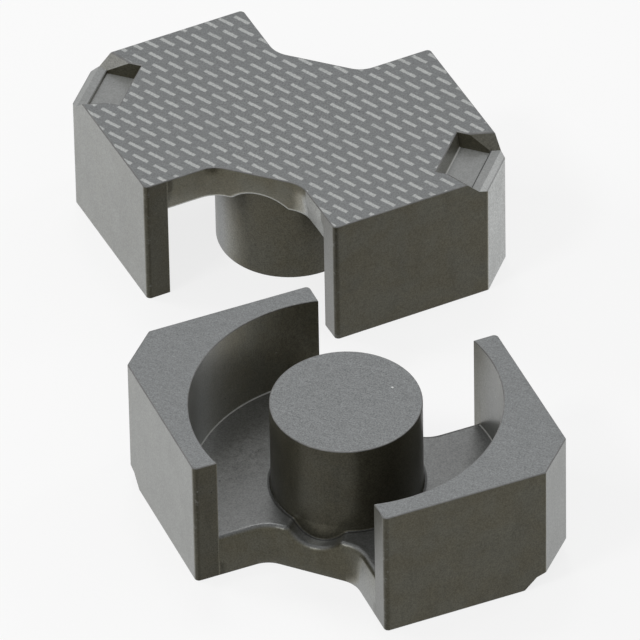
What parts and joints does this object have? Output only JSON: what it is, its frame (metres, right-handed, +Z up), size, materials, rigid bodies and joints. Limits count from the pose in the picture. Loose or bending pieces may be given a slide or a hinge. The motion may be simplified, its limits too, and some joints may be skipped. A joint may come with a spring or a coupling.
{
  "type": "rectangular module ferrite core",
  "caption": "Rectangular module ferrite core in separate mating halves, each with a base plate, a solid round centre post, hollow outer walls and clamp recesses at the ends.",
  "frame": {"origin": "centre of the front half's back face, on the surface that both halves stand on", "axes": "+X along the front half's length, +Y towards the rear half, +Z up along the post axis"},
  "size_m": [0.0551, 0.0566, 0.0122],
  "materials": {
    "front_ferrite": "sintered ferrite, ground pole faces, matt",
    "rear_ferrite": "sintered ferrite, as pressed back face with pale ink ticks, matt"
  },
  "bodies": {
    "root": {"front_core_half": "front_ferrite", "rear_core_half": "rear_ferrite"}
  },
  "joints": []
}
